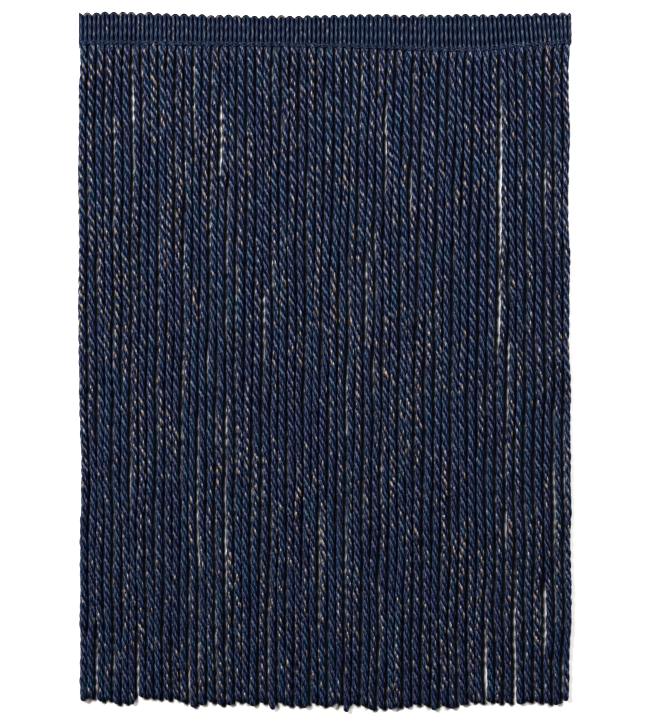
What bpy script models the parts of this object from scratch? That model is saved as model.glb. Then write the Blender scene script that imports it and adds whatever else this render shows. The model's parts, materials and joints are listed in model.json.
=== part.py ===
"""A cut length of bullion fringe, lying on its back: a looped woven heading with a skirt of twisted cords.

Metres, +Z up. The origin is the middle of the heading's back face, the heading runs along X, and the
cords run down towards -Y. Everything rests on z = 0.
"""

import math
import random
from collections import namedtuple

import bmesh
import bpy

# Driving sizes, in metres. Two ribs meet in each cord, and each loop of the top edge joins two cords.
MM = 0.001
CORDS = 56
PITCH = 3.82 * MM
WIDTH = CORDS * PITCH
RIBS_PER_PITCH = 2
STEPS_PER_RIB = 2
HEADING_THICKNESS = 2.3 * MM
RIB_RELIEF = 0.5 * MM
SCALLOP_RISE = 1.1 * MM
EDGE_THINNING = 0.7 * MM
PIECE_GAP = 0.3 * MM
STRIP_HEIGHT = 2.4 * MM
STRIP_THICKNESS = 2.2 * MM
SAME_POINT = 0.001 * MM

# A cord's four-sided section: it stands on its wider face.
CORD_BASE = 3.1 * MM
CORD_TOP = 2.5 * MM
CORD_HEIGHT = 3.2 * MM
CORD_CLEARANCE = 0.3 * MM
TIP_LENGTH = 1.6 * MM
TIP_SHARE = 0.62
SHOULDER_LENGTH = 4.0 * MM
STATIONS = 19
LOOSE_BY_DEPTH = 0.1

# How each cord differs from the next, from one seeded draw.
SEED = 41
WANDER = 0.35 * MM
WANDER_WAVES = (55 * MM, 120 * MM)
TIP_SPREAD = 1.3 * MM
SETTLE_PASSES = 40

# The band's edges and the cord ends, in millimetres: it was laid down a little wavy.
Line = namedtuple("Line", "across top foot tip")
LINES = (
    Line(-107, 6.9, -5.9, -291.0),
    Line(-85, 7.1, -5.9, -291.8),
    Line(-50, 6.0, -6.4, -292.9),
    Line(-15, 5.6, -6.8, -293.9),
    Line(20, 6.2, -7.6, -294.9),
    Line(50, 6.0, -8.8, -294.4),
    Line(67, 6.1, -8.7, -293.2),
    Line(85, 6.5, -7.0, -292.6),
    Line(107, 6.9, -5.4, -292.8),
)

# How far the cords lean sideways at four depths of the skirt, in millimetres.
Lean = namedtuple("Lean", "across root third two_thirds tip")
LEANS = (
    Lean(-107, 0.0, 0.0, 0.0, 0.0),
    Lean(-75, 0.0, -0.3, -1.3, -1.5),
    Lean(-50, 0.0, -0.6, -1.9, -2.1),
    Lean(-30, 0.0, -0.4, -1.6, -2.1),
    Lean(-10, 0.0, -0.9, -2.1, -2.7),
    Lean(15, 0.0, -1.7, -3.0, -3.9),
    Lean(45, 0.0, -2.2, -3.5, -4.4),
    Lean(65, -0.4, -2.0, -3.1, -3.8),
    Lean(80, -1.2, -1.7, -2.3, -2.6),
    Lean(107, 0.0, 0.0, 0.0, 0.0),
)

# Where two cords part and the surface below shows, in millimetres.
Parting = namedtuple("Parting", "after_cord from_y to_y width")
PARTINGS = (
    Parting(4, -26, -91, 0.6),
    Parting(6, -20, -34, 0.9),
    Parting(6, -161, -205, 0.8),
    Parting(8, -74, -144, 0.5),
    Parting(15, -135, -196, 0.5),
    Parting(16, -24, -60, 0.9),
    Parting(17, -170, -222, 0.7),
    Parting(18, -13, -152, 0.5),
    Parting(21, -178, -231, 0.6),
    Parting(22, -109, -170, 0.6),
    Parting(28, -205, -257, 0.5),
    Parting(39, -31, -74, 0.5),
    Parting(42, -213, -248, 0.6),
    Parting(47, -257, -290, 1.0),
    Parting(48, -22, -165, 1.3),
    Parting(49, -244, -258, 0.8),
    Parting(51, -246, -272, 1.1),
    Parting(54, -39, -100, 0.7),
    Parting(54, -235, -262, 1.4),
    Parting(55, -161, -208, 1.2),
)
PARTING_EASE = 14 * MM
PARTING_REACH = 2.5

Wave = namedtuple("Wave", "strength length phase")
Habit = namedtuple("Habit", "tip waves")


def eased(share):
    """0 to 1 with no corner at either end."""
    share = min(max(share, 0.0), 1.0)
    return share * share * (3 - 2 * share)


def curve_through(places, values, at):
    """The value at a place, on the smooth curve through the values."""
    last = len(places) - 1
    slopes = []
    for here in range(last + 1):
        before = max(here - 1, 0)
        after = min(here + 1, last)
        slopes.append((values[after] - values[before]) / (places[after] - places[before]))
    low = 0
    while low < last - 1 and at > places[low + 1]:
        low += 1
    span = places[low + 1] - places[low]
    share = (at - places[low]) / span
    blend = eased(share)
    leaving = share * (1 - share) ** 2 * span * slopes[low]
    arriving = share ** 2 * (share - 1) * span * slopes[low + 1]
    return values[low] * (1 - blend) + values[low + 1] * blend + leaving + arriving


def looked_up(table, column, across):
    """A column's value, in metres, at a distance across the width."""
    places = [row.across for row in table]
    values = [getattr(row, column) for row in table]
    return curve_through(places, values, across / MM) * MM


def home_of(cord):
    """The middle of a cord's own pitch, counting from 1 at the left."""
    return (cord - 0.5) * PITCH - WIDTH / 2


def lean_at(across, depth):
    """The sideways lean at a share of the skirt's depth."""
    columns = Lean._fields[1:]
    depths = [step / (len(columns) - 1) for step in range(len(columns))]
    return curve_through(depths, [looked_up(LEANS, column, across) for column in columns], depth)


def parting_at(cord, y):
    """How far the partings push a cord aside at y."""
    total = 0.0
    for parting in PARTINGS:
        entering = eased((parting.from_y * MM - y) / PARTING_EASE + 0.5)
        leaving = eased((y - parting.to_y * MM) / PARTING_EASE + 0.5)
        beyond = cord - parting.after_cord - 0.5
        nearness = math.exp((0.5 - abs(beyond)) / PARTING_REACH)
        total += math.copysign(parting.width * MM / 2, beyond) * nearness * entering * leaving
    return total


def drawn_habits():
    """One seeded row for each cord: its end's offset, and the waves of its own wander."""
    draw = random.Random(SEED)
    habits = []
    for cord in range(1, CORDS + 1):
        waves = []
        for length in WANDER_WAVES:
            strength = WANDER * draw.uniform(0.2, 0.5)
            waves.append(Wave(strength, length * draw.uniform(0.8, 1.2), draw.uniform(0, math.tau)))
        habits.append(Habit(draw.uniform(-TIP_SPREAD, TIP_SPREAD), waves))
    return habits


HABITS = drawn_habits()


def wander_at(cord, y):
    """A cord's own sideways wander at y."""
    total = 0.0
    for wave in HABITS[cord - 1].waves:
        total += wave.strength * math.sin(math.tau * y / wave.length + wave.phase)
    return total


def root_of(cord):
    """The y at which a cord leaves the strip."""
    return looked_up(LINES, "foot", home_of(cord)) - PIECE_GAP - STRIP_HEIGHT


def tip_of(cord):
    """The y at which a cord ends."""
    return looked_up(LINES, "tip", home_of(cord)) + HABITS[cord - 1].tip


def settled(places):
    """Places pushed apart until each cord clears the next."""
    nearest = CORD_BASE + CORD_CLEARANCE
    for turn in range(SETTLE_PASSES):
        for left in range(len(places) - 1):
            lacking = nearest - (places[left + 1] - places[left])
            if lacking > 0:
                places[left] -= lacking / 2
                places[left + 1] += lacking / 2
    return places


def cord_row(depth):
    """(x, y) of every cord's middle line at a share of the skirt's depth."""
    levels = []
    places = []
    for cord in range(1, CORDS + 1):
        y = root_of(cord) + (tip_of(cord) - root_of(cord)) * depth
        levels.append(y)
        loose = (parting_at(cord, y) + wander_at(cord, y)) * eased(depth / LOOSE_BY_DEPTH)
        places.append(home_of(cord) + lean_at(home_of(cord), depth) + loose)
    return list(zip(settled(places), levels))


def depths_down():
    """The shares of depth at which a cord has a section: even steps, the blunt tip's two last."""
    longest = max(root_of(cord) - tip_of(cord) for cord in range(1, CORDS + 1))
    shoulder = SHOULDER_LENGTH / longest
    last = 1 - TIP_LENGTH / longest
    even = [shoulder + (last - shoulder) * step / (STATIONS - 2) for step in range(STATIONS - 1)]
    return even + [1.0]


def yarn_material(name, colour, roughness):
    material = bpy.data.materials.new(name)
    material.use_nodes = True
    shader = material.node_tree.nodes["Principled BSDF"]
    shader.inputs["Base Color"].default_value = colour
    shader.inputs["Roughness"].default_value = roughness
    shader.inputs["Metallic"].default_value = 0.0
    return material


def made_object(name, shape, material, collection):
    """A bmesh turned into an object of the collection, with its normals facing out."""
    bmesh.ops.recalc_face_normals(shape, faces=shape.faces)
    mesh = bpy.data.meshes.new(name)
    shape.to_mesh(mesh)
    shape.free()
    mesh.materials.append(material)
    thing = bpy.data.objects.new(name, mesh)
    collection.objects.link(thing)
    return thing


def heading_section(across):
    """(y, z) round the band at a distance across it: flat back, ribbed face, looped top edge."""
    turn = math.tau * (across + WIDTH / 2) / PITCH
    rib = 0.5 - 0.5 * math.cos(turn * RIBS_PER_PITCH)
    scallop = SCALLOP_RISE * (0.5 + 0.5 * math.cos(turn))
    foot = looked_up(LINES, "foot", across)
    top = looked_up(LINES, "top", across) - SCALLOP_RISE / 2 + scallop
    face = HEADING_THICKNESS - RIB_RELIEF * (1 - rib)
    edge = face - EDGE_THINNING
    binding = top - (top - foot) / 3
    return (
        (foot, 0.0),
        (foot, edge),
        (foot + EDGE_THINNING, face),
        (binding, face - RIB_RELIEF / 2),
        (top - 2 * EDGE_THINNING, face),
        (top, edge),
        (top, 0.0),
    )


def heading(collection):
    """The woven band, one section drawn out step by step along X."""
    shape = bmesh.new()
    steps = CORDS * RIBS_PER_PITCH * STEPS_PER_RIB
    start = -WIDTH / 2
    corners = [shape.verts.new((start, y, z)) for y, z in heading_section(start)]
    front = shape.faces.new(corners)
    bmesh.ops.duplicate(shape, geom=[front])
    for step in range(1, steps + 1):
        across = start + WIDTH * step / steps
        drawn = bmesh.ops.extrude_discrete_faces(shape, faces=[front])
        front = drawn["faces"][0]
        for corner, (y, z) in zip(front.verts, heading_section(across)):
            corner.co = (across, y, z)
    bmesh.ops.remove_doubles(shape, verts=shape.verts, dist=SAME_POINT)
    material = yarn_material("heading_yarn", (0.012, 0.024, 0.055, 1.0), 0.55)
    return made_object("heading", shape, material, collection)


def place_section(face, x, y, share, rise):
    """Moves a cord's end face to its next section, keeping each corner's own side."""
    middle = face.calc_center_median()
    for corner in face.verts:
        upper = corner.co.z > middle.z
        half = (CORD_TOP if upper else CORD_BASE) / 2 * share
        side = math.copysign(half, corner.co.x - middle.x)
        corner.co = (x + side, y, rise if upper else 0.0)


def skirt(collection):
    """The strip in which the cords are rooted, and the cords drawn out of its lower wall."""
    shape = bmesh.new()
    bmesh.ops.create_grid(shape, x_segments=2 * CORDS - 1, y_segments=1, size=1.0)
    columns = {}
    for corner in shape.verts:
        columns.setdefault(round(corner.co.x, 4), []).append(corner)
    roots = cord_row(0.0)
    for column, place in enumerate(sorted(columns)):
        x, y = roots[column // 2]
        side = CORD_BASE / 2 if column % 2 else -CORD_BASE / 2
        for corner in columns[place]:
            corner.co = (x + side, y, STRIP_THICKNESS if corner.co.y > 0 else 0.0)
    wall = sorted(shape.faces, key=lambda face: face.calc_center_median().x)
    back = bmesh.ops.extrude_face_region(shape, geom=wall, use_keep_orig=True)
    for part in back["geom"]:
        if isinstance(part, bmesh.types.BMVert):
            part.co.y = looked_up(LINES, "foot", part.co.x) - PIECE_GAP
    ends = wall[0::2]
    for depth in depths_down():
        row = cord_row(depth)
        share = TIP_SHARE if depth == 1.0 else 1.0
        drawn = bmesh.ops.extrude_discrete_faces(shape, faces=ends)
        ends = sorted(drawn["faces"], key=lambda face: face.calc_center_median().x)
        for face, (x, y) in zip(ends, row):
            place_section(face, x, y, share, CORD_HEIGHT * share)
    material = yarn_material("bullion_yarn", (0.010, 0.020, 0.048, 1.0), 0.5)
    return made_object("skirt", shape, material, collection)


def main():
    for thing in list(bpy.data.objects):
        bpy.data.objects.remove(thing)
    collection = bpy.data.collections.new("bullion_fringe")
    bpy.context.scene.collection.children.link(collection)
    heading(collection)
    skirt(collection)


main()
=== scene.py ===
"""The looks of a cut length of bullion fringe: three-ply twisted cords below a ribbed, looped heading.

Metres, +Z up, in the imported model's own frame: the heading runs along X, the cords run down towards -Y,
and everything lies on z = 0. Every cord follows the route of its own solid strand, and strays from it a
little.
"""

import json
import math
import random
from collections import namedtuple

import bmesh
import bpy
import mathutils
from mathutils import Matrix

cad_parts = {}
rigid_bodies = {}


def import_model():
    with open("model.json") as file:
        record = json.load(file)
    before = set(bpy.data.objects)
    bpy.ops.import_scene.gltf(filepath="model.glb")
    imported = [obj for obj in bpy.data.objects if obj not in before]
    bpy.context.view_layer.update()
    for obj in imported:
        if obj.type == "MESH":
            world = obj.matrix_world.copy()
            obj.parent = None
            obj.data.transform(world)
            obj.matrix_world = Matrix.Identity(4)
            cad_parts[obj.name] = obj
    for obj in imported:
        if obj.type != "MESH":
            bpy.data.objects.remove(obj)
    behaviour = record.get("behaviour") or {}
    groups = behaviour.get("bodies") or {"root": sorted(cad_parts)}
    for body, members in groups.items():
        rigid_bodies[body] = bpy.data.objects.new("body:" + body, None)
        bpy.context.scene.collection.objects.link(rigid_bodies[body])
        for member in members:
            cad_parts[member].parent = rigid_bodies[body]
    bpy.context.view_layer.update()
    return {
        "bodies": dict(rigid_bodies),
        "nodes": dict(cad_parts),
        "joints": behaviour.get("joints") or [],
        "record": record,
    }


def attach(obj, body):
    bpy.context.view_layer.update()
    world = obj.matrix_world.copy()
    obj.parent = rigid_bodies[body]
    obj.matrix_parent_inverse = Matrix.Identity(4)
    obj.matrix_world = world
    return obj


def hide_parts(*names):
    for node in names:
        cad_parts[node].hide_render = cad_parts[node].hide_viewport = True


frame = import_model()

# Driving sizes, in metres, as the solids have them.
MM = 0.001
CORDS = 56
RIBS_PER_LOOP = 2
PITCH = 3.82 * MM
WIDTH = CORDS * PITCH
SCALLOP_RISE = 1.1 * MM
PIECE_GAP = 0.3 * MM
STRIP_HEIGHT = 2.4 * MM
CORD_BASE = 3.1 * MM
CORD_CLEARANCE = 0.3 * MM

# How the solid strands wander, by the same seed. A wave's length, and at times its strength, is drawn from
# a range of shares.
SEED = 41
LOOSE_BY_DEPTH = 0.1
WANDER = 0.35 * MM
WANDER_STRENGTHS = (0.2, 0.5)
WANDER_WAVES = (55 * MM, 120 * MM)
WANDER_LENGTHS = (0.8, 1.2)
TIP_SPREAD = 1.3 * MM
SETTLE_PASSES = 40

# The band's edges and the cord ends, in millimetres: it was laid down a little wavy.
Line = namedtuple("Line", "across top foot tip")
LINES = (
    Line(-107, 6.9, -5.9, -291.0),
    Line(-85, 7.1, -5.9, -291.8),
    Line(-50, 6.0, -6.4, -292.9),
    Line(-15, 5.6, -6.8, -293.9),
    Line(20, 6.2, -7.6, -294.9),
    Line(50, 6.0, -8.8, -294.4),
    Line(67, 6.1, -8.7, -293.2),
    Line(85, 6.5, -7.0, -292.6),
    Line(107, 6.9, -5.4, -292.8),
)

# How far the cords lean sideways at four depths of the skirt, in millimetres.
Lean = namedtuple("Lean", "across root third two_thirds tip")
LEANS = (
    Lean(-107, 0.0, 0.0, 0.0, 0.0),
    Lean(-75, 0.0, -0.3, -1.3, -1.5),
    Lean(-50, 0.0, -0.6, -1.9, -2.1),
    Lean(-30, 0.0, -0.4, -1.6, -2.1),
    Lean(-10, 0.0, -0.9, -2.1, -2.7),
    Lean(15, 0.0, -1.7, -3.0, -3.9),
    Lean(45, 0.0, -2.2, -3.5, -4.4),
    Lean(65, -0.4, -2.0, -3.1, -3.8),
    Lean(80, -1.2, -1.7, -2.3, -2.6),
    Lean(107, 0.0, 0.0, 0.0, 0.0),
)

# Where two cords part and the surface below shows, in millimetres. A parting opens and closes over a
# length of its own, and its push dies away over some cords.
Parting = namedtuple("Parting", "after_cord from_y to_y width")
PARTINGS = (
    Parting(4, -26, -91, 0.6),
    Parting(6, -20, -34, 0.9),
    Parting(6, -161, -205, 0.8),
    Parting(8, -74, -144, 0.5),
    Parting(15, -135, -196, 0.5),
    Parting(16, -24, -60, 0.9),
    Parting(17, -170, -222, 0.7),
    Parting(18, -13, -152, 0.5),
    Parting(21, -178, -231, 0.6),
    Parting(22, -109, -170, 0.6),
    Parting(28, -205, -257, 0.5),
    Parting(39, -31, -74, 0.5),
    Parting(42, -213, -248, 0.6),
    Parting(47, -257, -290, 1.0),
    Parting(48, -22, -165, 1.3),
    Parting(49, -244, -258, 0.8),
    Parting(51, -246, -272, 1.1),
    Parting(54, -39, -100, 0.7),
    Parting(54, -235, -262, 1.4),
    Parting(55, -161, -208, 1.2),
)
PARTING_EASE = 14 * MM
PARTING_REACH = 2.5

# Where light falls between two cords: the place, how far down, and how far apart they lie, in
# millimetres.
Slit = namedtuple("Slit", "across from_y to_y spacing")
SLITS = (
    Slit(-99.6, -253, -295, 4.60),
    Slit(-93.0, -24, -81, 4.54),
    Slit(-86.5, -159, -201, 4.51),
    Slit(-84.6, -16, -31, 5.09),
    Slit(-81.3, -253, -295, 4.55),
    Slit(-73.9, -81, -149, 4.50),
    Slit(-53.9, -154, -232, 4.36),
    Slit(-45.4, -20, -57, 4.90),
    Slit(-44.3, -150, -240, 4.55),
    Slit(-40.9, -55, -112, 4.40),
    Slit(-25.7, -102, -154, 4.64),
    Slit(-4.3, -201, -253, 4.67),
    Slit(16.7, -86, -133, 4.74),
    Slit(25.9, -18, -65, 4.55),
    Slit(38.5, -45, -71, 4.90),
    Slit(67.2, -253, -285, 5.29),
    Slit(73.7, -102, -133, 5.38),
    Slit(75.9, -24, -88, 5.42),
    Slit(75.9, -196, -213, 4.98),
    Slit(78.0, -123, -165, 4.80),
    Slit(81.5, -240, -295, 5.02),
    Slit(93.3, -45, -86, 4.81),
    Slit(94.6, -232, -264, 5.47),
    Slit(100.2, -175, -212, 4.88),
)

# The photograph's frame: its height in metres, and the middle of it on the surface. The sensor is in
# millimetres.
FRAME_HEIGHT = 313.9 * MM
FRAME_MIDDLE = (0.0, -144.1 * MM)
CAMERA_HEIGHT = 1.2
SENSOR = 36.0

# The soft boxes, long in the way of the cords: metres to the right, height, width and power. The weak
# third one stands steeper, and reaches the surface between cords that lie a little apart.
Softbox = namedtuple("Softbox", "name across height width power")
SOFTBOXES = (
    Softbox("left", -0.8, 0.89, 0.16, 40.0),
    Softbox("right", 1.0, 0.69, 0.2, 40.0),
    Softbox("fill", -0.62, 0.95, 0.18, 4.0),
)
SOFTBOX_SHIFT = 0.55
SOFTBOX_LENGTH = 0.7
ROOM_LIGHT = "#59b3ff"
ROOM_STRENGTH = 0.008

# The white board below, wide enough that no edge of it shows from above.
FLOOR_REACH = 6.0
BOARD_PAINT = "#b9b7b5"

# One cord: three plies laid up to the left, and how their turns and sizes vary.
PLIES = 3
CORD_RADIUS = 1.53 * MM
TURN = 13.2 * MM
STEPS_PER_TURN = 14
TURN_SPREAD = 0.03
TURN_DRIFT = 0.55
TURN_DRIFT_WAVE = 70 * MM
TURN_DRIFT_LENGTHS = (0.7, 1.4)
ROOT_PHASE = math.radians(205)
ROOT_PHASE_SPREAD = math.radians(30)
PLY_SWELL = 0.07
PLY_SWELL_WAVES = (9 * MM, 23 * MM)
PLY_SWELL_LENGTHS = (0.8, 1.3)
LIFT = 0.35 * MM
LIFT_WAVE = 60 * MM
LIFT_LENGTHS = (0.6, 1.6)
CORD_SPREAD = 0.06
CORDS_PER_PIECE = 14

# How a cord strays from its solid strand, in waves of a strength and a length, and the least and the
# greatest spacing where no slit is stated.
DROP = 285 * MM
ROUTE_STEPS = 160
SWAYS = ((0.1 * MM, 19 * MM), (0.3 * MM, 70 * MM), (0.55 * MM, 330 * MM))
SWAY_LENGTHS = (0.7, 1.5)
SWAY_BY_DEPTH = 0.03
CORDS_TOUCH = 2.85 * MM
CORDS_APART = 4.32 * MM
ROW_PASSES = 60

# A ply's outline about the cord's axis: degrees from its crest, and share of the cord's radius. The crest
# is the third corner.
Corner = namedtuple("Corner", "turn reach")
PLY_OUTLINE = (
    Corner(-58, 0.7),
    Corner(-32, 0.93),
    Corner(0, 1.0),
    Corner(32, 0.93),
    Corner(58, 0.7),
    Corner(0, 0.1),
)
PLY_CREST = 2 / len(PLY_OUTLINE)

# At its root a cord is wider and flatter, where the ribs leave the weaving. Below that it is drawn in more
# or less at its neck, and its first turns are slack.
ROOT_TUCK = 0.9 * MM
ROOT_SPREAD = 0.12
ROOT_FLATNESS = 0.36
ROOT_EASE = 6 * MM
NECKS = (-0.04, 0.16)
NECK_REACH = 9.0 * MM
ROOT_SLACK = 3.5 * MM
ROOT_SLACK_REACH = 7.0 * MM

# Its other end is a blunt dome.
TIP_DOME = 2.2 * MM
TIP_STRAY = 1.1 * MM
TIP_STEPS = 5

# The heading: a thin band behind round ribs, which turn over in loops at its top edge. The crest of a
# round yarn is a quarter of the way round from its side.
BAND_THICKNESS = 1.1 * MM
BAND_MARGIN = 1.6 * MM
BAND_ROWS = 6
RIB_RADIUS = 0.86 * MM
RIB_DEPTH = 0.95 * MM
RIB_RISE = 1.3 * MM
RIB_CORNERS = 10
ROUND_CREST = 0.25
RIB_STEPS = 18
RIB_TAIL = 2.4 * MM
RIB_TAIL_START = 0.6 * MM
RIB_TAIL_DROP = 0.8 * MM
RIB_CROSSING = 0.9
RIB_CROSSING_LIFT = 0.3 * MM
RIB_SWELL = 0.04
LOOP_SPREAD = 0.16 * MM
RIB_WAVER = 0.08 * MM
RIB_WAVER_LENGTH = 4.1 * MM
LOOP_STEPS = 10
LOOP_CLOSING = 0.96
LOOP_STRAY = 0.12 * MM
PINCH = 0.05
PINCH_REACH = 0.8 * MM

# How far a rib's foot stands to the right of its loop, in millimetres.
Slant = namedtuple("Slant", "across shift")
SLANTS = (
    Slant(-107, 0.0),
    Slant(40, 0.0),
    Slant(62, 0.5),
    Slant(78, 1.1),
    Slant(98, 1.0),
    Slant(107, 0.2),
)

# The threads laid across the ribs: how far above the foot three of them lie, and the line of the fine
# fourth.
BINDING_RADIUS = 0.3 * MM
BINDING_RISE = 2.12 * MM
BINDING_WAVE = 0.22 * MM
BINDING_ZIGZAG = 0.28 * MM
BINDING_PLACES = (0.75 * MM, 0.1 * MM, -0.55 * MM)
BINDING_CORNERS = 6
BINDING_STEPS_PER_PITCH = 8
WARP_RADIUS = 0.16 * MM
WARP_RISE = 2.0 * MM
WARP_LINE = 1.1 * MM

# Metallic thread: short bright lengths that show where a ply comes round to the face. How proud they are
# and how deep they sink are shares of the radius, and they lie nearly upright along the cord.
FLECKS_IN_RUNS = 30
RUN_LENGTHS = (2, 9)
RUN_JITTER = 0.6 * MM
ROOT_RUN_SHARE = 0.6
ROOT_RUN_START = (2.5 * MM, 5.0 * MM)
ROOT_RUN_FLECKS = (2, 4)
LONE_FLECKS = 12
FLECK_LENGTH = (2.2 * MM, 4.0 * MM)
FLECK_SHORTNESS = 1.5
FLECK_HALF_WIDTH = math.radians(10)
FLECK_THICKNESS = 0.035
FLECK_SINK = 0.015
FLECK_STRAY = math.radians(20)
FLECK_UPRIGHT = (0.85, 1.1)
DASH_STEPS = (0.0, 0.12, 0.5, 0.88, 1.0)
DASH_CORNERS = 4

# In the heading it lies over some crowns in clusters, on the ribs and in the binding: how many lengths,
# where, and what share of a cord's they are. Places are shares of the loop's arc or of the width.
CROWN_CLUSTERS = 13
CROWN_FLECKS = (2, 4)
CROWN_PLACES = (-0.1, 1.1)
CROWN_TURNS = (-0.6, 0.3)
CROWN_LEAN = math.radians(28)
CROWN_FLECK_SHARE = 0.5
FLECK_TURNS = (-0.5, 0.5)
RIB_FLECKS = 110
RIB_FLECK_SHARE = 0.6
BINDING_FLECKS = 60
BINDING_FLECK_PLACES = (-0.495, 0.495)
BINDING_FLECK_SHARE = 0.5

# The dyed yarn: four shades of the dye, and the paler colour of a painted highlight along its crest. Then
# how strong that painted highlight is, and over what share of the way round; how near the crest a ply is
# clear of the painted shade towards its grooves; its lustre; and how far painted shade darkens the outer
# side of a loop's arch.
Dye = namedtuple("Dye", "deep violet blue teal worn wear line open lustre rim")
BULLION_DYE = Dye("#0b192d", "#1e223c", "#15283f", "#162e3f", "#525c6e", 0.65, 0.035, 0.7, 0.12, 0.0)
WEFT_DYE = Dye("#0a1423", "#131b31", "#102035", "#112534", "#3f495d", 0.72, 0.042, 0.48, 0.06, 0.9)
BINDING_DYE = WEFT_DYE._replace(rim=0.0)

# Where the four shades lie on the dye's unevenness, how fine that is, and how far each tube differs.
DYE_PLACES = (0.3, 0.47, 0.58, 0.75)
DYE_STREAKS = (420.0, 120.0, 420.0)
DYE_PATCHES = (180.0, 70.0, 180.0)
DYE_BY_TUBE = 0.14

# The colour of the painted shade between the filament bundles, towards the grooves between plies and
# between the heading's woven threads, and what share of the light reaches between the bundles. Then the
# edges of the painted highlight line, and the painted shade on the outer side of a loop's arch: its colour,
# its share of the yarn's length, and its edges round it.
GROOVE_SHADE = "#01030a"
GROOVE_LIGHT = 0.15
HIGHLIGHT_EDGES = (1.5, 0.5)
ARCH_SHADE_COLOUR = "#0c0a0c"
ARCH_SHARE = 0.12
ARCH_EDGES = (1.2, 0.7)

# The filament bundles that a yarn is thrown from: how many, and how far along it one of them winds round.
BUNDLE_DEPTH = 0.12 * MM
BUNDLE_FUZZ = 0.06
FUZZ_SCALE = 9000.0
YARN_ROUGHNESS = (0.24, 0.4)
BULLION_ENDS = 4
BULLION_END_TURN = -1.6 * MM
WEFT_ENDS = 6
BINDING_ENDS = 3
WEFT_END_TURN = 3.5 * MM
WARP_SPACING = 1.6 * MM

# The metallised film, from champagne to silver, in patches of one shade.
TINSEL_COLOURS = ("#544235", "#4f4239", "#48433e", "#484a4e")
TINSEL_PLACES = (0.0, 0.35, 0.75, 1.0)
TINSEL_PATCH = 2 * MM

# The map that a rolled-up piece is laid out on, how many of its tubes lie in a row there, and the
# distance within which its points are one.
BAKE_MAP = "OFBake"
LOOP_COLUMNS = 8
FLECK_COLUMNS = 60
HEADING_FLECK_COLUMNS = 15
SAME_POINT = 0.0002 * MM

# A mix node's two colour sockets, and its mixed colour.
MIX_COLOURS = (6, 7)
MIX_RESULT = 2


# The cords' routes

def eased(share):
    """0 to 1 with no corner at either end."""
    share = min(max(share, 0.0), 1.0)
    return share * share * (3 - 2 * share)


def curve_through(places, values, at):
    """The value at a place, on the smooth curve through the values."""
    last = len(places) - 1
    slopes = []
    for here in range(last + 1):
        before = max(here - 1, 0)
        after = min(here + 1, last)
        slopes.append((values[after] - values[before]) / (places[after] - places[before]))
    low = 0
    while low < last - 1 and at > places[low + 1]:
        low += 1
    span = places[low + 1] - places[low]
    share = (at - places[low]) / span
    blend = eased(share)
    leaving = share * (1 - share) ** 2 * span * slopes[low]
    arriving = share ** 2 * (share - 1) * span * slopes[low + 1]
    return values[low] * (1 - blend) + values[low + 1] * blend + leaving + arriving


def looked_up(table, column, across):
    """A column's value, in metres, at a distance across the width."""
    places = [row.across for row in table]
    values = [getattr(row, column) for row in table]
    return curve_through(places, values, across / MM) * MM


def home_of(cord):
    """The middle of a cord's own pitch, counting from 1 at the left."""
    return (cord - 0.5) * PITCH - WIDTH / 2


def lean_at(across, depth):
    """The sideways lean at a share of the skirt's depth."""
    columns = Lean._fields[1:]
    depths = [step / (len(columns) - 1) for step in range(len(columns))]
    return curve_through(depths, [looked_up(LEANS, column, across) for column in columns], depth)


def openness(parting, y):
    """How far open a parting is at y, from 0 to 1."""
    entering = eased((parting.from_y * MM - y) / PARTING_EASE + 0.5)
    leaving = eased((y - parting.to_y * MM) / PARTING_EASE + 0.5)
    return entering * leaving


def parting_at(cord, y):
    """How far the partings push a cord aside at y."""
    total = 0.0
    for parting in PARTINGS:
        beyond = cord - parting.after_cord - 0.5
        nearness = math.exp((0.5 - abs(beyond)) / PARTING_REACH)
        total += math.copysign(parting.width * MM / 2, beyond) * nearness * openness(parting, y)
    return total


Wave = namedtuple("Wave", "strength length phase")
Habit = namedtuple("Habit", "tip waves")


def drawn_wave(draw, strength, length, lengths):
    """A wave of a drawn phase, and of a length drawn from a range of shares."""
    return Wave(strength, length * draw.uniform(*lengths), draw.uniform(0, math.tau))


def drawn_habits():
    """One seeded row for each cord: its end's offset, and the waves of its own wander."""
    draw = random.Random(SEED)
    habits = []
    for cord in range(1, CORDS + 1):
        waves = []
        for length in WANDER_WAVES:
            strength = WANDER * draw.uniform(*WANDER_STRENGTHS)
            waves.append(drawn_wave(draw, strength, length, WANDER_LENGTHS))
        habits.append(Habit(draw.uniform(-TIP_SPREAD, TIP_SPREAD), waves))
    return habits


HABITS = drawn_habits()


def summed(waves, at):
    """The sum of some waves at a place along them."""
    total = 0.0
    for wave in waves:
        total += wave.strength * math.sin(math.tau * at / wave.length + wave.phase)
    return total


def foot_at(across):
    """The y of the heading's lower edge."""
    return looked_up(LINES, "foot", across)


def root_of(cord):
    """The y at which a cord's solid strand leaves its strip."""
    return foot_at(home_of(cord)) - PIECE_GAP - STRIP_HEIGHT


def tip_of(cord):
    """The y at which a cord ends."""
    return looked_up(LINES, "tip", home_of(cord)) + HABITS[cord - 1].tip


def settled(places, nearest):
    """Places pushed apart until each is clear of the next."""
    for turn in range(SETTLE_PASSES):
        for left in range(len(places) - 1):
            lacking = nearest - (places[left + 1] - places[left])
            if lacking > 0:
                places[left] -= lacking / 2
                places[left + 1] += lacking / 2
    return places


def strand_row(depth):
    """The x of every solid strand's middle line at a share of the skirt's depth."""
    places = []
    for cord in range(1, CORDS + 1):
        y = root_of(cord) + (tip_of(cord) - root_of(cord)) * depth
        loose = parting_at(cord, y) + summed(HABITS[cord - 1].waves, y)
        home = home_of(cord)
        places.append(home + lean_at(home, depth) + loose * eased(depth / LOOSE_BY_DEPTH))
    return settled(places, CORD_BASE + CORD_CLEARANCE)


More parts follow.
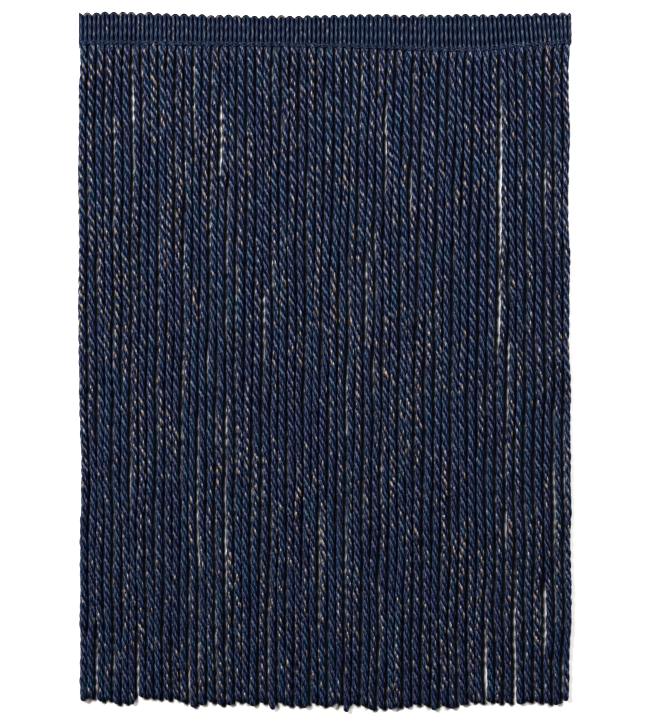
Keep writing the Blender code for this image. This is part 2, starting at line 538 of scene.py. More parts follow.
def drawn_sways():
    """How each cord strays from its strand: long and short waves."""
    draw = random.Random(SEED + 3)
    sways = []
    for cord in range(CORDS):
        sways.append([drawn_wave(draw, strength, length, SWAY_LENGTHS) for strength, length in SWAYS])
    return sways


def spacing_limits(y):
    """The least and the greatest spacing after each cord at y: some touch, others let light between."""
    least = [CORDS_TOUCH] * (CORDS - 1)
    most = [CORDS_APART] * (CORDS - 1)
    for slit in SLITS:
        opened = openness(slit, y)
        after = round((slit.across * MM + WIDTH / 2) / PITCH + slit_shift(slit)) - 1
        least[after] += (slit.spacing * MM - least[after]) * opened
        most[after] += (slit.spacing * MM - most[after]) * opened
    return least, most


def slit_shift(slit):
    """How many pitches the cords have leant aside from a slit, halfway down it."""
    depth = (slit.from_y + slit.to_y) / 2 * MM / -DROP
    return -lean_at(slit.across * MM, min(depth, 1.0)) / PITCH


def cord_row(depth):
    """The x of every cord's middle line at a share of the skirt's depth."""
    y = -DROP * depth
    loose = eased(depth / SWAY_BY_DEPTH)
    places = []
    for place, waves in zip(strand_row(depth), SWAY_WAVES):
        places.append(place + summed(waves, y) * loose)
    least, most = spacing_limits(y)
    for each in range(ROW_PASSES):
        for left in range(CORDS - 1):
            spacing = places[left + 1] - places[left]
            change = min(max(spacing, least[left]), most[left]) - spacing
            places[left] -= change / 2
            places[left + 1] += change / 2
    return places


SWAY_WAVES = drawn_sways()
ROUTE_ROWS = [cord_row(step / ROUTE_STEPS) for step in range(ROUTE_STEPS + 1)]


# The cords

class Cord:
    """Where one cord lies, and how its plies turn about its middle line."""

    def __init__(self, number):
        draw = random.Random(SEED * 1000 + number)
        self.column = number - 1
        self.root = root_of(number)
        self.tip = tip_of(number) + draw.uniform(-TIP_STRAY, TIP_STRAY)
        self.top = foot_at(home_of(number)) + ROOT_TUCK
        self.length = self.top - self.tip
        self.turn = TURN * draw.uniform(1 - TURN_SPREAD, 1 + TURN_SPREAD)
        self.phase = ROOT_PHASE + draw.uniform(-ROOT_PHASE_SPREAD, ROOT_PHASE_SPREAD)
        self.drift = [drawn_wave(draw, TURN_DRIFT, TURN_DRIFT_WAVE, TURN_DRIFT_LENGTHS)]
        self.lift = [drawn_wave(draw, 0.5, LIFT_WAVE, LIFT_LENGTHS)]
        self.radius = CORD_RADIUS * draw.uniform(1 - CORD_SPREAD, 1 + CORD_SPREAD)
        self.neck = draw.uniform(*NECKS)
        self.swells = []
        for ply in range(PLIES):
            waves = [drawn_wave(draw, PLY_SWELL, length, PLY_SWELL_LENGTHS) for length in PLY_SWELL_WAVES]
            self.swells.append(waves)

    def across(self, y):
        """The x of the middle line at y."""
        depth = min(max((self.root - y) / (self.root - self.tip), 0.0), 1.0) * ROUTE_STEPS
        low = min(int(depth), ROUTE_STEPS - 1)
        share = depth - low
        return ROUTE_ROWS[low][self.column] * (1 - share) + ROUTE_ROWS[low + 1][self.column] * share

    def crest(self, ply, distance):
        """The angle at which a ply stands out, a distance down the cord. The twist is slack at the root."""
        twisted = distance - ROOT_SLACK * (1 - math.exp(-distance / ROOT_SLACK_REACH))
        laid = self.phase + math.tau * ply / PLIES - math.tau * twisted / self.turn
        return laid + summed(self.drift, distance) - summed(self.drift, 0.0)

    def point(self, ply, distance, turn, reach):
        """A point of a ply, a distance down the cord: its turn from the ply's crest and its reach. The cord
        is flat at its root, drawn in at its neck and domed at its end, and nothing is below the surface."""
        y = self.top - distance
        crest = self.crest(ply, distance)
        rooted = 1 - eased(distance / ROOT_EASE)
        left = max(self.length - distance, 0.0)
        dome = math.sqrt(max(1 - max(1 - left / TIP_DOME, 0.0) ** 2, 0.0))
        necked = 1 - self.neck * math.exp(-distance / NECK_REACH)
        size = self.radius * dome * necked * (1 + summed(self.swells[ply], distance))
        wide = size * (1 + ROOT_SPREAD * rooted)
        tall = size * (1 - ROOT_FLATNESS * rooted)
        lift = LIFT * (0.5 + summed(self.lift, distance)) * (1 - rooted)
        rise = self.radius * (1 - ROOT_FLATNESS * rooted) + lift
        return (
            self.across(y) + wide * reach * math.cos(crest + turn),
            y,
            max(rise + tall * reach * math.sin(crest + turn), 0.0),
        )


ALL_CORDS = [Cord(number) for number in range(1, CORDS + 1)]


def rolled_up(name, tubes, columns):
    """Closed tubes of one piece, each a list of rings of points. A flat grid is laid on all of them and
    cut between them, and merging rolls each patch up: it closes the seam, and the end where a ring is a
    point."""
    rings = len(tubes[0])
    corners = len(tubes[0][0]) + 1
    rows = math.ceil(len(tubes) / columns)
    shape = bmesh.new()
    shape.loops.layers.uv.new(BAKE_MAP)
    grid = bmesh.ops.create_grid(
        shape, x_segments=columns * rings - 1, y_segments=rows * corners - 1, size=0.5, calc_uvs=True
    )
    spare = []
    for place, vert in enumerate(grid["verts"]):
        down, along = divmod(place, columns * rings)
        row, corner = divmod(down, corners)
        column, ring = divmod(along, rings)
        tube = row * columns + column
        if tube < len(tubes):
            vert.co = tubes[tube][ring][corner % (corners - 1)]
            vert.index = tube
        else:
            spare.append(vert)
    between = [face for face in shape.faces if len({vert.index for vert in face.verts}) > 1]
    bmesh.ops.delete(shape, geom=between, context="FACES_ONLY")
    bmesh.ops.delete(shape, geom=spare, context="VERTS")
    bare = [edge for edge in shape.edges if not edge.link_faces]
    bmesh.ops.delete(shape, geom=bare, context="EDGES")
    bmesh.ops.remove_doubles(shape, verts=shape.verts, dist=SAME_POINT)
    bmesh.ops.recalc_face_normals(shape, faces=shape.faces)
    return finished(name, shape)


def finished(name, shape):
    """A bmesh made into a smooth piece that rides with the part."""
    mesh = bpy.data.meshes.new(name)
    shape.to_mesh(mesh)
    shape.free()
    mesh.shade_smooth()
    piece = bpy.data.objects.new(name, mesh)
    bpy.context.scene.collection.objects.link(piece)
    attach(piece, "root")
    return piece


def distances_down(cord):
    """Even steps down a cord, then the closer ones of its domed end."""
    steps = round(max(each.length for each in ALL_CORDS) / TURN * STEPS_PER_TURN)
    body = cord.length - TIP_DOME
    even = [body * step / steps for step in range(steps + 1)]
    quarter = math.pi / 2
    dome = [body + TIP_DOME * math.sin(quarter * step / TIP_STEPS) for step in range(1, TIP_STEPS + 1)]
    return even + dome


def ply_rings(cord, ply):
    """The rings of points that one ply is drawn through."""
    distances = distances_down(cord)
    outline = [(math.radians(corner.turn), corner.reach) for corner in PLY_OUTLINE]
    rings = [[cord.point(ply, 0.0, 0.0, 0.5)] * len(outline)]
    for distance in distances:
        rings.append([cord.point(ply, distance, turn, reach) for turn, reach in outline])
    return rings


def ply_tubes(first):
    """The plies of the cords that share a piece, from the first of them."""
    tubes = []
    for cord in ALL_CORDS[first:first + CORDS_PER_PIECE]:
        for ply in range(PLIES):
            tubes.append(ply_rings(cord, ply))
    return tubes


def bullion_cords():
    """The twisted cords, some to a piece."""
    bundles = [ply_tubes(first) for first in range(0, CORDS, CORDS_PER_PIECE)]
    material = viscose_yarn(
        "thrown_viscose_bullion", layout_of(bundles[0], 1), ALL_CORDS[0].length, BULLION_END_TURN,
        BULLION_ENDS, PLY_CREST, BULLION_DYE,
    )
    for number, tubes in enumerate(bundles, start=1):
        piece = rolled_up("bullion_cords_%d" % number, tubes, 1)
        piece.data.materials.append(material)
        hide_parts("skirt")


def heading_band(material):
    """The woven band itself: one thin slab with the wavy edges of the heading."""
    shape = bmesh.new()
    bmesh.ops.create_grid(shape, x_segments=CORDS * RIBS_PER_LOOP, y_segments=BAND_ROWS, size=0.5)
    for vert in shape.verts:
        x = vert.co.x * WIDTH
        foot = foot_at(x)
        top = looked_up(LINES, "top", x) - BAND_MARGIN
        vert.co = (x, foot + (top - foot) * (vert.co.y + 0.5), BAND_THICKNESS)
    bmesh.ops.solidify(shape, geom=shape.faces, thickness=BAND_THICKNESS)
    bmesh.ops.recalc_face_normals(shape, faces=shape.faces)
    band = finished("heading_band", shape)
    band.data.materials.append(material)
    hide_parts("heading")
    return band


# The loops and ribs of the heading

Frame = namedtuple("Frame", "x y z side wide tall")


def ring_about(frame):
    """Points round a tube's middle: the frame's side is the way across it on the surface."""
    return [tube_point(frame, math.tau * corner / RIB_CORNERS, 0.0) for corner in range(RIB_CORNERS)]


def tube_point(frame, angle, proud):
    """A point of a tube's face, or a little proud of it, at an angle from its side towards the top."""
    out = (frame.wide + proud) * math.cos(angle)
    rise = (frame.tall + proud) * math.sin(angle)
    return (frame.x + frame.side[0] * out, frame.y + frame.side[1] * out, frame.z + rise)


class Loop:
    """A rib up, over the top edge and down again beside itself, at a boundary between two cords."""

    def __init__(self, boundary):
        draw = random.Random(SEED * 2000 + boundary)
        self.middle = boundary * PITCH - WIDTH / 2
        self.reach = PITCH / RIBS_PER_LOOP / 2
        self.bend = self.reach * LOOP_CLOSING
        self.stray = draw.uniform(-LOOP_STRAY, LOOP_STRAY) if 0 < boundary < CORDS else 0.0
        self.phases = [draw.uniform(0, math.tau) for rib in range(RIBS_PER_LOOP)]
        self.swell = draw.uniform(1 - RIB_SWELL, 1 + RIB_SWELL)
        top = looked_up(LINES, "top", self.middle) + SCALLOP_RISE / 2 + draw.gauss(0.0, LOOP_SPREAD)
        self.crown = top - RIB_RADIUS - self.bend
        self.tail = foot_at(self.middle) - RIB_TAIL
        self.rise = self.crown - self.tail
        self.arc = math.pi * self.bend
        self.length = 2 * self.rise + self.arc
        straight = [self.rise * step / RIB_STEPS for step in range(RIB_STEPS)]
        bent = [self.rise + self.arc * step / LOOP_STEPS for step in range(LOOP_STEPS + 1)]
        self.stops = straight + bent + [self.length - at for at in reversed(straight)]

    def rib(self, way, y):
        """The frame of the left rib, way -1, or the right one. Below the foot each runs in over the cord
        on its own side, and there a right one lies on top of the next loop's left one."""
        start = self.middle + way * self.reach
        foot = foot_at(start)
        below_crown = self.crown - y
        shift = looked_up(SLANTS, "shift", start) * below_crown / (self.crown - foot)
        wave = math.sin(math.tau * y / RIB_WAVER_LENGTH + self.phases[way > 0])
        upright = eased(below_crown / self.reach / 2)
        gathered = self.stray - way * (self.reach - self.bend)
        waver = RIB_WAVER * wave * upright + gathered * (1 - upright)
        pinch = 1 - PINCH * math.exp(-((y - WARP_LINE) / PINCH_REACH) ** 2)
        tail = eased((foot + RIB_TAIL_START - y) / (RIB_TAIL + RIB_TAIL_START))
        crossing = way * self.reach * RIB_CROSSING * tail
        z = RIB_RISE * (1 + pinch) / 2 + (way * RIB_CROSSING_LIFT - RIB_TAIL_DROP * tail) * tail
        wide = RIB_RADIUS * self.swell * (1 + pinch) / 2
        tall = RIB_DEPTH * pinch
        return Frame(start + shift + waver + crossing, y, max(z, tall), (way, 0.0), wide, tall)

    def frame(self, at):
        """The frame at a distance round the loop from its left foot."""
        if at < self.rise:
            return self.rib(-1, self.tail + at)
        if at > self.rise + self.arc:
            return self.rib(1, self.tail + self.length - at)
        angle = math.pi * (1 - (at - self.rise) / self.arc)
        side = (math.cos(angle), math.sin(angle))
        x = self.middle + self.stray + self.bend * side[0]
        y = self.crown + self.bend * side[1]
        return Frame(x, y, RIB_RISE, side, RIB_RADIUS * self.swell, RIB_DEPTH)

    def rings(self):
        """The rings of the whole loop, or of what a cut end leaves of it."""
        rings = closed_ends([ring_about(self.frame(at)) for at in self.stops])
        apex = self.frame(self.rise + self.arc / 2)
        cut = [(apex.x, apex.y - apex.wide / 2, apex.z)] * RIB_CORNERS
        half = len(rings) // 2
        if self.middle - self.reach < -WIDTH / 2:
            return [cut] * half + rings[half:]
        if self.middle + self.reach > WIDTH / 2:
            return rings[:half] + [cut] * (len(rings) - half)
        return rings


ALL_LOOPS = [Loop(boundary) for boundary in range(CORDS + 1)]


def closed_ends(rings):
    """Rings with a point added in the middle of each open end."""
    closed = []
    for ring in (rings[0], rings[-1]):
        middle = tuple(sum(corner[axis] for corner in ring) / len(ring) for axis in range(3))
        closed.append([middle] * len(ring))
    return [closed[0]] + rings + [closed[1]]


def heading_loops():
    """The ribs in pairs, each pair one loop of yarn over the top edge."""
    tubes = [loop.rings() for loop in ALL_LOOPS]
    loops = rolled_up("heading_loops", tubes, LOOP_COLUMNS)
    loops.data.materials.append(viscose_yarn(
        "thrown_viscose_weft", layout_of(tubes, LOOP_COLUMNS), ALL_LOOPS[0].length, WEFT_END_TURN,
        WEFT_ENDS, ROUND_CREST, WEFT_DYE,
    ))
    return loops


# The threads across the heading

class Thread:
    """A thread laid across the heading, over each rib and down between them."""

    def __init__(self, line, rise, radius, wave, zigzag, phase):
        self.line = line
        self.rise = rise
        self.radius = radius
        self.wave = wave
        self.zigzag = zigzag
        self.phase = phase

    def point(self, x, angle, proud):
        """A point of its face, or a little proud of it, at an angle from the way up the heading."""
        turn = math.tau * (x + WIDTH / 2) / PITCH
        y = self.line(x) + self.zigzag * math.sin(turn + self.phase)
        z = self.rise - self.wave * math.cos(2 * turn)
        out = self.radius + proud
        return (x, y + out * math.cos(angle), z + out * math.sin(angle))

    def rings(self):
        """The rings of the whole thread."""
        steps = CORDS * BINDING_STEPS_PER_PITCH
        angles = [math.tau * corner / BINDING_CORNERS for corner in range(BINDING_CORNERS)]
        rings = []
        for step in range(steps + 1):
            x = WIDTH * (step / steps - 0.5)
            rings.append([self.point(x, angle, 0.0) for angle in angles])
        return closed_ends(rings)


def drawn_threads():
    """The threads that bind the ribs: three where the cords leave, one fine one across the middle."""
    threads = []
    for order, height in enumerate(BINDING_PLACES):
        threads.append(Thread(
            lambda x, height=height: foot_at(x) + height,
            BINDING_RISE, BINDING_RADIUS, BINDING_WAVE, BINDING_ZIGZAG, order * math.pi,
        ))
    threads.append(Thread(lambda x: WARP_LINE, WARP_RISE, WARP_RADIUS, BINDING_WAVE, 0.0, 0.0))
    return threads


ALL_THREADS = drawn_threads()


def heading_threads():
    """The threads across the ribs."""
    tubes = [thread.rings() for thread in ALL_THREADS]
    threads = rolled_up("heading_threads", tubes, 1)
    threads.data.materials.append(viscose_yarn(
        "thrown_viscose_binding", layout_of(tubes, 1), WIDTH, WEFT_END_TURN, BINDING_ENDS, ROUND_CREST,
        BINDING_DYE,
    ))
    return threads


# The metallic thread

def reach_at(turn):
    """How far out a ply's face is, at a turn from its crest."""
    face = PLY_OUTLINE[:-1]
    turns = [corner.turn for corner in face]
    return curve_through(turns, [corner.reach for corner in face], math.degrees(turn))


def dash_rings(face, middle, length, turn, lean):
    """One short length of metallic thread, pointed where it dips under at both ends. The face gives a
    point at a distance along the yarn, a turn about it and a height above it."""
    rings = []
    for share in DASH_STEPS:
        at = middle + length * (share - 0.5)
        here = turn + lean * (share - 0.5)
        if share in (0.0, 1.0):
            rings.append([face(at, here, -FLECK_SINK)] * DASH_CORNERS)
            continue
        low, high = here - FLECK_HALF_WIDTH, here + FLECK_HALF_WIDTH
        rings.append([
            face(at, low, -FLECK_SINK),
            face(at, high, -FLECK_SINK),
            face(at, high, FLECK_THICKNESS),
            face(at, low, FLECK_THICKNESS),
        ])
    return rings


def nearest_face(cord, distance):
    """The ply that stands nearest to the top at a distance down a cord."""
    return max(range(PLIES), key=lambda ply: math.sin(cord.crest(ply, distance)))


def ply_face(cord, ply):
    """The face of a ply, for dashes that lie on it."""
    return lambda at, turn, height: cord.point(ply, at, turn, reach_at(turn) + height)


def drawn_length(draw):
    """A dash's length: most are short."""
    shortest, longest = FLECK_LENGTH
    return shortest + (longest - shortest) * draw.random() ** FLECK_SHORTNESS


def metallic_flecks(material):
    """The metallic thread of all the cords. It comes to the face again and again in a run, once for each
    ply, and lies there along the cord, as the ply's own twist undoes the cord's. Some runs start right at
    the root."""
    draw = random.Random(SEED + 2)
    tubes = []
    for cord in ALL_CORDS:
        places = [draw.uniform(ROOT_EASE, cord.length - TIP_DOME) for each in range(LONE_FLECKS)]
        if draw.random() < ROOT_RUN_SHARE:
            start = draw.uniform(*ROOT_RUN_START)
            count = draw.randint(*ROOT_RUN_FLECKS)
            places += [start + each * cord.turn / PLIES for each in range(count)]
        placed = 0
        while placed < FLECKS_IN_RUNS:
            count = draw.randint(*RUN_LENGTHS)
            start = draw.uniform(0.0, cord.length)
            for each in range(count):
                places.append(start + each * cord.turn / PLIES + draw.gauss(0.0, RUN_JITTER))
            placed += count
        for distance in places:
            if not ROOT_TUCK < distance < cord.length - TIP_DOME:
                continue
            length = drawn_length(draw)
            stray = draw.uniform(-FLECK_STRAY, FLECK_STRAY)
            lean = math.tau * length / cord.turn * draw.uniform(*FLECK_UPRIGHT)
            face = ply_face(cord, nearest_face(cord, distance))
            tubes.append(dash_rings(face, distance, length, stray, lean))
    flecks = rolled_up("metallic_flecks", tubes, FLECK_COLUMNS)
    flecks.data.materials.append(material)


def loop_face(loop):
    """The face of a rib's yarn, for dashes that lie on it."""
    top = math.pi / 2
    return lambda at, turn, height: tube_point(loop.frame(at), top + turn, height * RIB_RADIUS)


def thread_face(thread):
    """The face of a binding thread, for dashes that lie on it."""
    top = math.pi / 2
    return lambda at, turn, height: thread.point(at, top + turn, height * thread.radius)


def heading_flecks(material):
    """The metallic thread of the heading: over some loops in clusters, on the ribs and in the binding."""
    draw = random.Random(SEED + 5)
    tubes = []
    for cluster in range(CROWN_CLUSTERS):
        loop = draw.choice(ALL_LOOPS[1:-1])
        for each in range(draw.randint(*CROWN_FLECKS)):
            at = loop.rise + draw.uniform(*CROWN_PLACES) * loop.arc
            lean = draw.uniform(-CROWN_LEAN, CROWN_LEAN)
            length = drawn_length(draw) * CROWN_FLECK_SHARE
            tubes.append(dash_rings(loop_face(loop), at, length, draw.uniform(*CROWN_TURNS), lean))
    for each in range(RIB_FLECKS):
        loop = draw.choice(ALL_LOOPS[1:-1])
        below = draw.uniform(0.0, loop.rise - RIB_TAIL)
        at = draw.choice((loop.rise - below, loop.length - loop.rise + below))
        length = drawn_length(draw) * RIB_FLECK_SHARE
        tubes.append(dash_rings(loop_face(loop), at, length, draw.uniform(*FLECK_TURNS), 0.0))
    for each in range(BINDING_FLECKS):
        thread = draw.choice(ALL_THREADS[:-1])
        at = draw.uniform(*BINDING_FLECK_PLACES) * WIDTH
        length = drawn_length(draw) * BINDING_FLECK_SHARE
        tubes.append(dash_rings(thread_face(thread), at, length, draw.uniform(*FLECK_TURNS), 0.0))
    flecks = rolled_up("heading_flecks", tubes, HEADING_FLECK_COLUMNS)
    flecks.data.materials.append(material)
    return flecks


# Materials

def linear(hex_colour):
    """An sRGB hex colour as the linear one that a shader takes."""
    channels = []
    for start in (1, 3, 5):
        share = int(hex_colour[start:start + 2], 16) / 255
        channels.append(share / 12.92 if share <= 0.04045 else ((share + 0.055) / 1.055) ** 2.4)
    return (*channels, 1.0)


def added(tree, kind, values=None, links=None, **settings):
    """A node with its settings, its sockets' values and its incoming links."""
    node = tree.nodes.new(kind)
    for setting, value in settings.items():
        setattr(node, setting, value)
    for socket, value in (values or {}).items():
        node.inputs[socket].default_value = value
    for socket, source in (links or {}).items():
        tree.links.new(source, node.inputs[socket])
    return node


def started(name):
    """A new material, its node tree and its shader."""
    material = bpy.data.materials.new(name)
    material.use_nodes = True
    tree = material.node_tree
    return material, tree, tree.nodes["Principled BSDF"]


def worked(tree, operation, *terms):
    """The outcome of a sum. Each term is a number or another node's output."""
    node = added(tree, "ShaderNodeMath", operation=operation)
    for socket, term in zip(node.inputs, terms):
        if isinstance(term, (int, float)):
            socket.default_value = term
        else:
            tree.links.new(term, socket)
    return node.outputs[0]


def ranged(tree, value, start, end, low=0.0, high=1.0, **settings):
    """A value that is low at the start of a stretch and high at its end, and goes no further."""
    limits = {"From Min": start, "From Max": end, "To Min": low, "To Max": high}
    return added(tree, "ShaderNodeMapRange", limits, {"Value": value}, **settings).outputs[0]


def blended(tree, share, *colours):
    """Two colours, mixed by a share. Each is a hex colour or another node's output."""
    node = added(tree, "ShaderNodeMix", links={0: share}, data_type="RGBA")
    for socket, colour in zip(MIX_COLOURS, colours):
        if isinstance(colour, str):
            node.inputs[socket].default_value = linear(colour)
        else:
            tree.links.new(colour, node.inputs[socket])
    return node.outputs[MIX_RESULT]


def ramped(tree, value, places, colours):
    """The colour at a value, between hex colours at their places."""
    node = added(tree, "ShaderNodeValToRGB", links={"Fac": value})
    stops = node.color_ramp.elements
    ready = len(stops)
    for order, (place, colour) in enumerate(zip(places, colours)):
        stop = stops[order] if order < ready else stops.new(place)
        stop.position = place
        stop.color = linear(colour)
    return node.outputs[0]


def embossed(tree, shader, height, strength, distance):
    """The shader's face, raised by a height."""
    bump = added(tree, "ShaderNodeBump", {"Strength": strength, "Distance": distance}, {"Height": height})
    tree.links.new(bump.outputs[0], shader.inputs["Normal"])


def metallised_film(name):
    """Film slit to a narrow tape and twisted in: champagne to silver, catching light in short bright
    dashes."""
    material, tree, shader = started(name)
    place = added(tree, "ShaderNodeTexCoord")
    patch = (TINSEL_PATCH, TINSEL_PATCH, TINSEL_PATCH)
    snapped = added(
        tree, "ShaderNodeVectorMath", {1: patch}, {0: place.outputs["Object"]}, operation="SNAP",
    )
    chance = added(
        tree, "ShaderNodeTexWhiteNoise", links={"Vector": snapped.outputs[0]}, noise_dimensions="3D",
    )
    shade = ramped(tree, chance.outputs["Value"], TINSEL_PLACES, TINSEL_COLOURS)
    tree.links.new(shade, shader.inputs["Base Color"])
    shader.inputs["Metallic"].default_value = 0.2
    shader.inputs["Roughness"].default_value = 0.4
    shader.inputs["Specular IOR Level"].default_value = 0.6
    return material


Layout = namedtuple("Layout", "tubes columns rings corners")


def layout_of(tubes, columns):
    """How the tubes of a piece are laid out on its map."""
    return Layout(len(tubes), columns, len(tubes[0]), len(tubes[0][0]))


def place_in_tube(tree, layout):
    """The share of the way along and round a tube, and the tube's own random number, from the map that the
    piece is laid out on."""
    rows = math.ceil(layout.tubes / layout.columns)
    spread = added(tree, "ShaderNodeUVMap", uv_map=BAKE_MAP)
    counted = added(
        tree, "ShaderNodeVectorMath",
        {1: (layout.columns * layout.rings - 1, rows * (layout.corners + 1) - 1, 0.0)},
        {0: spread.outputs[0]}, operation="MULTIPLY",
    )
    patch = (layout.rings, layout.corners + 1, 1.0)
    inside = added(
        tree, "ShaderNodeVectorMath", {1: patch}, {0: counted.outputs[0]}, operation="MODULO",
    )
    shares = added(
        tree, "ShaderNodeVectorMath", {1: (1 / (layout.rings - 1), 1 / layout.corners, 0.0)},
        {0: inside.outputs[0]}, operation="MULTIPLY",
    )
    split = added(tree, "ShaderNodeSeparateXYZ", links={0: shares.outputs[0]})
    which = added(
        tree, "ShaderNodeVectorMath", {1: patch}, {0: counted.outputs[0]}, operation="DIVIDE",
    )
    whole = added(tree, "ShaderNodeVectorMath", links={0: which.outputs[0]}, operation="FLOOR")
    chance = added(
        tree, "ShaderNodeTexWhiteNoise", links={"Vector": whole.outputs[0]}, noise_dimensions="3D",
    )
    return split.outputs[0], split.outputs[1], chance.outputs["Value"]


def streaked_noise(tree, place, scales):
    """Unevenness that is drawn out along the yarn."""
    stretched = added(tree, "ShaderNodeMapping", {"Scale": scales}, {"Vector": place})
    noise = added(
        tree, "ShaderNodeTexNoise", {"Scale": 1.0, "Detail": 3.0}, {"Vector": stretched.outputs[0]},
    )
    return noise.outputs[0]


def bundle_height(tree, along, around, length, turn, ends):
    """The height of the filament bundles, which wind round the yarn: 1 on each, 0 between them."""
    laid = worked(tree, "MULTIPLY", along, math.tau * length / turn)
    angle = worked(tree, "MULTIPLY_ADD", around, math.tau * ends, laid)
    return ranged(tree, worked(tree, "SINE", angle), -1.0, 1.0)


def dye_shade(tree, uneven, patches, chance, dye):
    """The dye's colour, which takes more or less by streaks and patches, and a little by the tube."""
    depth = worked(tree, "MULTIPLY", worked(tree, "ADD", uneven, patches), 0.5)
    varied = worked(tree, "MULTIPLY_ADD", chance, DYE_BY_TUBE, -DYE_BY_TUBE / 2)
    colours = (dye.deep, dye.violet, dye.blue, dye.teal)
    return ramped(tree, worked(tree, "ADD", depth, varied), DYE_PLACES, colours)


def painted_arch_shade(tree, along, around, crest, dye):
    """How much painted shade darkens a loop's arch: the outer side of the yarn, where it turns over halfway
    along.
    """
    from_top = worked(tree, "ABSOLUTE", worked(tree, "SUBTRACT", along, 0.5))
    arched = ranged(tree, from_top, ARCH_SHARE, ARCH_SHARE / 2)
    inner, outer = ARCH_EDGES
    outside = ranged(tree, around, crest * inner, crest * outer, high=dye.rim)
    return worked(tree, "MULTIPLY", arched, outside)


def viscose_yarn(name, layout, length, turn, ends, crest, dye):
    """Filament viscose, thrown with the opposite twist to the ply and dyed navy in the hank: a silky lustre
    on every filament bundle, and a dye that takes slightly unevenly. Painted shade makes it near black
    between the bundles and towards the grooves between plies, a painted highlight runs along each crest,
    and painted shade darkens the outer side of a loop's arch."""
    material, tree, shader = started(name)
    place = added(tree, "ShaderNodeTexCoord").outputs["Object"]
    along, around, chance = place_in_tube(tree, layout)
    height = bundle_height(tree, along, around, length, turn, ends)
    uneven = streaked_noise(tree, place, DYE_STREAKS)
    shade = dye_shade(tree, uneven, streaked_noise(tree, place, DYE_PATCHES), chance, dye)

    # Painted shade: near black between the filament bundles and towards the grooves between plies, where
    # shade falls.
    aside = worked(tree, "ABSOLUTE", worked(tree, "SUBTRACT", around, crest))
    clear_of_groove_shade = ranged(tree, aside, crest, crest * dye.open, interpolation_type="SMOOTHSTEP")
    lit = worked(tree, "MULTIPLY_ADD", height, 1 - GROOVE_LIGHT, GROOVE_LIGHT)
    groove_shaded = blended(tree, worked(tree, "MULTIPLY", lit, clear_of_groove_shade), GROOVE_SHADE, shade)
    # A painted highlight: a paler line along the crest, broken by the filament bundles, where the crest
    # would catch the light.
    wide, narrow = HIGHLIGHT_EDGES
    line = ranged(tree, aside, dye.line * wide, dye.line * narrow, high=dye.wear)
    worn = blended(tree, worked(tree, "MULTIPLY", line, height), groove_shaded, dye.worn)
    # Painted shade on the outer side of each loop's arch, where the yarn turns over, away from the light.
    arch_shaded = blended(tree, painted_arch_shade(tree, along, around, crest, dye), worn, ARCH_SHADE_COLOUR)
    tree.links.new(arch_shaded, shader.inputs["Base Color"])
    shader.inputs["Specular IOR Level"].default_value = dye.lustre
    tree.links.new(ranged(tree, uneven, 0.0, 1.0, *YARN_ROUGHNESS), shader.inputs["Roughness"])

    fuzz = added(tree, "ShaderNodeTexNoise", {"Scale": FUZZ_SCALE, "Detail": 2.0}, {"Vector": place})
    relief = worked(tree, "MULTIPLY_ADD", fuzz.outputs[0], BUNDLE_FUZZ, height)
    embossed(tree, shader, relief, 0.6, BUNDLE_DEPTH)
    return material


def woven_band_cloth(name):
    """The ground of the heading, woven plain from the same navy yarn: fine warp over and under the ribs."""
    material, tree, shader = started(name)
    place = added(tree, "ShaderNodeTexCoord")
    split = added(tree, "ShaderNodeSeparateXYZ", links={0: place.outputs["Object"]})
    waves = []
    for axis, spacing in ((0, PITCH / RIBS_PER_LOOP), (1, WARP_SPACING)):
        turns = worked(tree, "MULTIPLY", split.outputs[axis], math.tau / spacing)
        waves.append(worked(tree, "SINE", turns))
    height = ranged(tree, worked(tree, "MULTIPLY", *waves), -1.0, 1.0)
    # Painted shade: near black between the woven threads.
    tree.links.new(blended(tree, height, GROOVE_SHADE, WEFT_DYE.deep), shader.inputs["Base Color"])
    embossed(tree, shader, height, 0.8, BUNDLE_DEPTH)
    shader.inputs["Roughness"].default_value = 0.6
    shader.inputs["Specular IOR Level"].default_value = WEFT_DYE.lustre
    return material


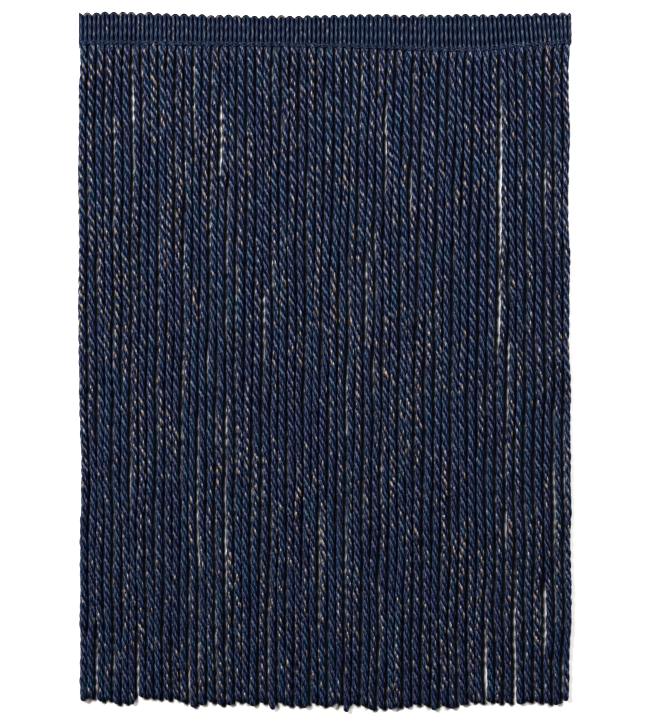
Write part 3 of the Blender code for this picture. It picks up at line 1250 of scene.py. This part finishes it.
def painted_board(name):
    """A matt white board, rolled on: pale, with a faint stipple."""
    material, tree, shader = started(name)
    place = added(tree, "ShaderNodeTexCoord").outputs["Object"]
    stipple = added(tree, "ShaderNodeTexNoise", {"Scale": 400.0, "Detail": 2.0}, {"Vector": place})
    embossed(tree, shader, stipple.outputs[0], 0.05, 0.2 * MM)
    shader.inputs["Base Color"].default_value = linear(BOARD_PAINT)
    shader.inputs["Roughness"].default_value = 0.9
    return material


# The studio

def board():
    """The white board that the fringe lies on."""
    shape = bmesh.new()
    bmesh.ops.create_grid(shape, x_segments=1, y_segments=1, size=FLOOR_REACH)
    mesh = bpy.data.meshes.new("floor")
    shape.to_mesh(mesh)
    shape.free()
    mesh.materials.append(painted_board("painted_board"))
    floor = bpy.data.objects.new("floor", mesh)
    bpy.context.scene.collection.objects.link(floor)


def softboxes():
    """The lamps, each aimed at the middle of the fringe, and the faint light of the room."""
    scene = bpy.context.scene
    for softbox in SOFTBOXES:
        lamp = bpy.data.lights.new("softbox_" + softbox.name, "AREA")
        lamp.shape = "RECTANGLE"
        lamp.size = SOFTBOX_LENGTH
        lamp.size_y = softbox.width
        lamp.energy = softbox.power
        box = bpy.data.objects.new("softbox_" + softbox.name, lamp)
        box.location = (softbox.across, FRAME_MIDDLE[1] + SOFTBOX_SHIFT, softbox.height)
        aim = mathutils.Vector((-softbox.across, -SOFTBOX_SHIFT, -softbox.height))
        box.rotation_euler = aim.to_track_quat("-Z", "Y").to_euler()
        scene.collection.objects.link(box)
    room = bpy.data.worlds.new("studio")
    room.use_nodes = True
    glow = room.node_tree.nodes["Background"]
    glow.inputs["Color"].default_value = linear(ROOM_LIGHT)
    glow.inputs["Strength"].default_value = ROOM_STRENGTH
    scene.world = room


def camera():
    """The camera straight above, and the contrast of its picture."""
    scene = bpy.context.scene
    scene.view_settings.view_transform = "Standard"
    scene.view_settings.look = "High Contrast"
    eye = bpy.data.cameras.new("camera")
    eye.sensor_width = SENSOR
    eye.lens = SENSOR * CAMERA_HEIGHT / FRAME_HEIGHT
    seen_from = bpy.data.objects.new("camera", eye)
    seen_from.location = (*FRAME_MIDDLE, CAMERA_HEIGHT)
    scene.collection.objects.link(seen_from)
    scene.camera = seen_from


board()
softboxes()
camera()
film = metallised_film("slit_metallised_film")
bullion_cords()
metallic_flecks(film)
loops = heading_loops()
threads = heading_threads()
band = heading_band(woven_band_cloth("woven_band_cloth"))
heading_flecks(film)
